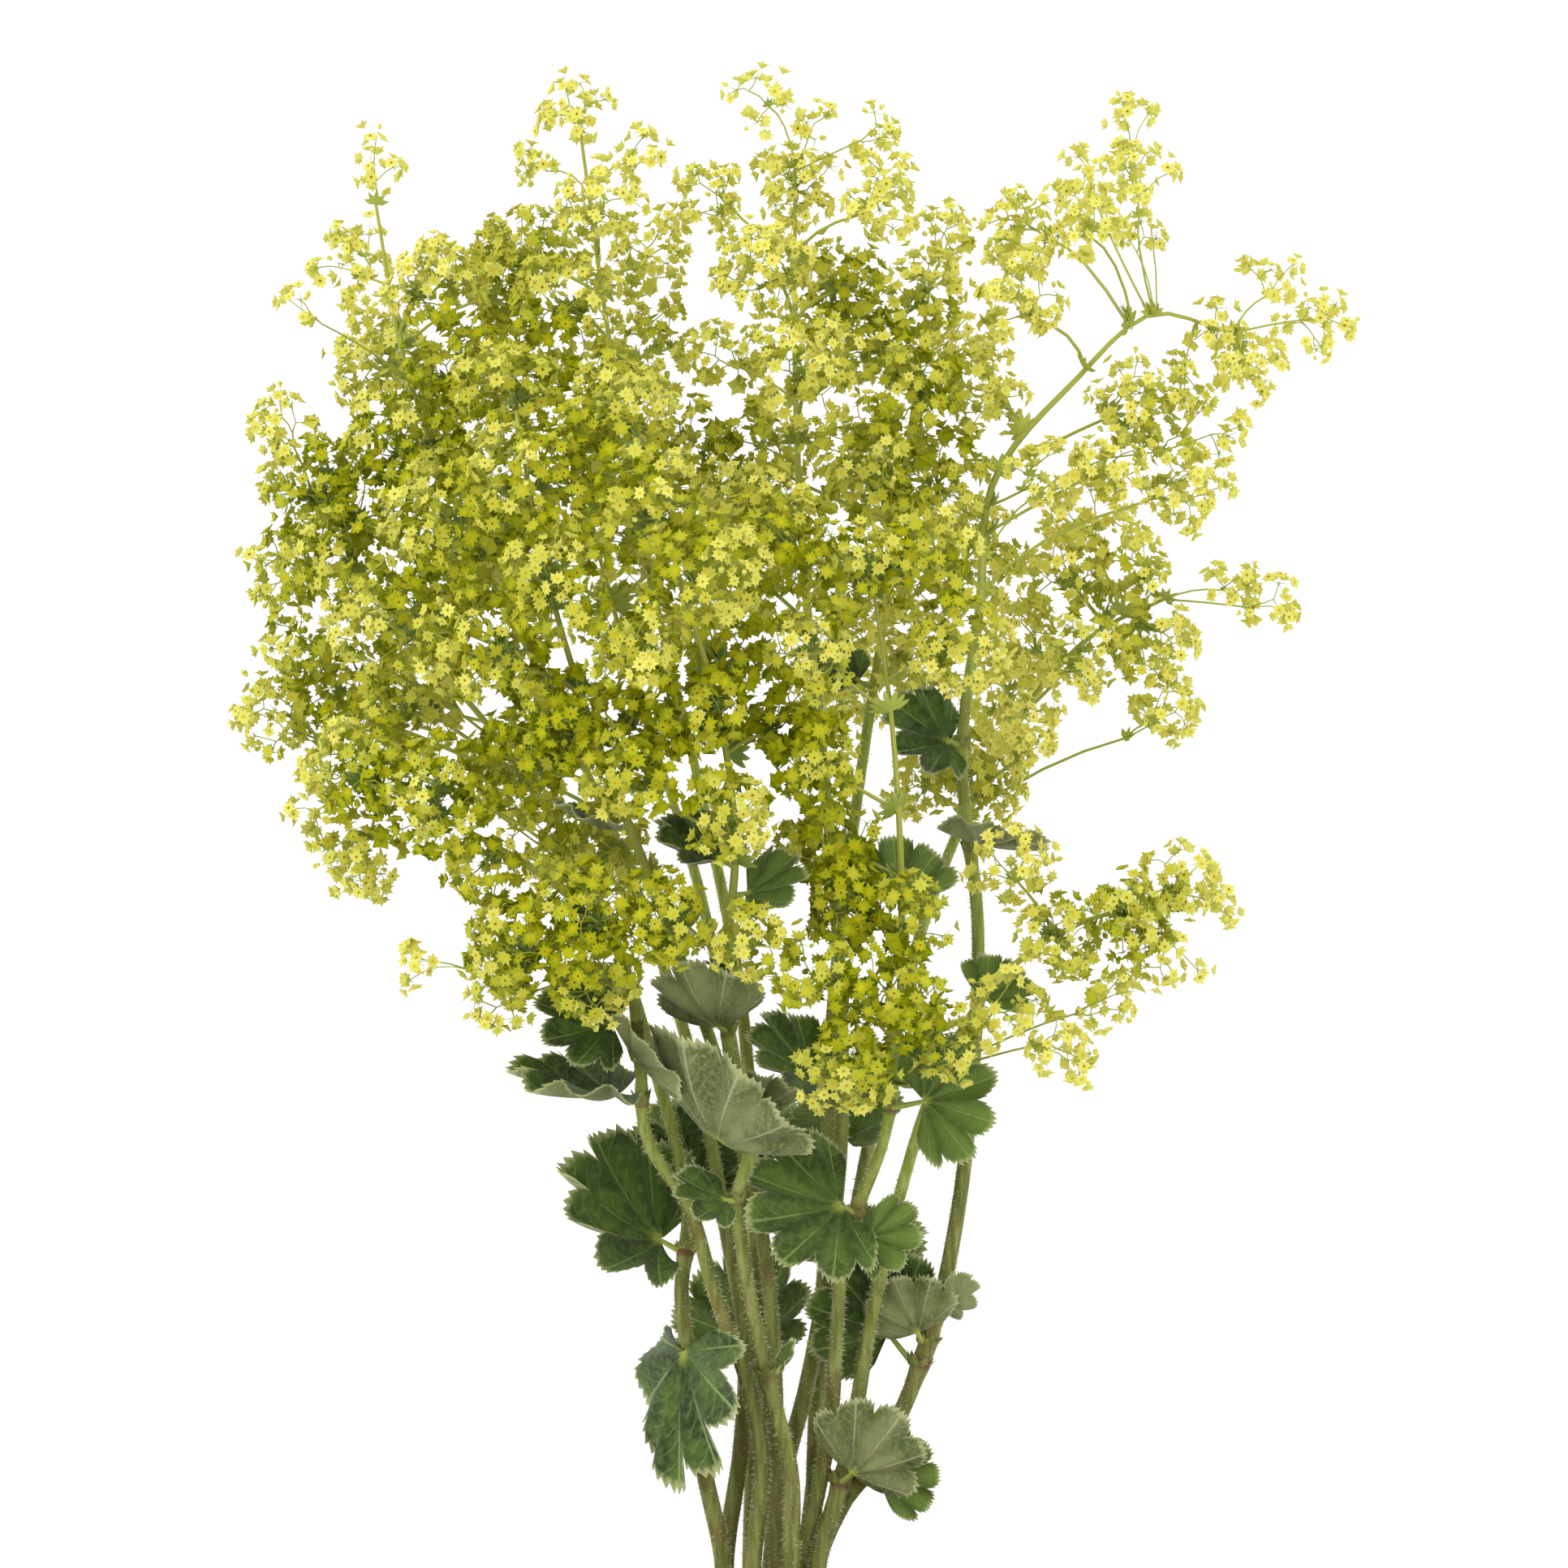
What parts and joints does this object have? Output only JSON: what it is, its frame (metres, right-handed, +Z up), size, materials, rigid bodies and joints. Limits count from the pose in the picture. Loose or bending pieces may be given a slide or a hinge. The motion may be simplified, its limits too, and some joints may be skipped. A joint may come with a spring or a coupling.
{
  "type": "potted lady's mantle in flower",
  "caption": "Lady's mantle in a plain clay pot: slim hairy stems with lobed, pleated leaves and loose yellow-green sprays of small star florets.",
  "frame": {"origin": "middle of the pot's underside, on the surface it stands on", "axes": "+Z up along the stems, -Y towards the viewer of the picture, +X to the viewer's right"},
  "size_m": [0.3054, 0.1963, 0.5718],
  "materials": {
    "clay": "matte",
    "soil": "matte",
    "stem": "matte",
    "leaf": "matte",
    "floret": "matte"
  },
  "bodies": {
    "root": {"pot": "clay", "soil": "soil", "stem_01": "stem", "stem_02": "stem", "stem_03": "stem", "stem_04": "stem", "stem_05": "stem", "stem_06": "stem", "stem_07": "stem", "stem_08": "stem", "stem_09": "stem", "stem_10": "stem", "stem_11": "stem", "stem_12": "stem", "stem_13": "stem", "leaf_01": "leaf", "leaf_02": "leaf", "leaf_03": "leaf", "leaf_04": "leaf", "leaf_05": "leaf", "leaf_06": "leaf", "leaf_07": "leaf", "leaf_08": "leaf", "leaf_09": "leaf", "leaf_10": "leaf", "leaf_11": "leaf", "leaf_12": "leaf", "leaf_13": "leaf", "leaf_14": "leaf", "leaf_15": "leaf", "leaf_16": "leaf", "leaf_17": "leaf", "leaf_18": "leaf", "leaf_19": "leaf", "leaf_20": "leaf", "leaf_21": "leaf", "leaf_22": "leaf", "leaf_23": "leaf", "leaf_24": "leaf", "leaf_25": "leaf", "leaf_26": "leaf", "leaf_27": "leaf", "leaf_28": "leaf", "leaf_29": "leaf", "leaf_30": "leaf", "leaf_31": "leaf", "leaf_32": "leaf", "spray_01": "floret", "spray_02": "floret", "spray_03": "floret", "spray_04": "floret", "spray_05": "floret", "spray_06": "floret", "spray_07": "floret", "spray_08": "floret", "spray_09": "floret", "spray_10": "floret", "spray_11": "floret", "spray_12": "floret", "spray_13": "floret"}
  },
  "joints": []
}
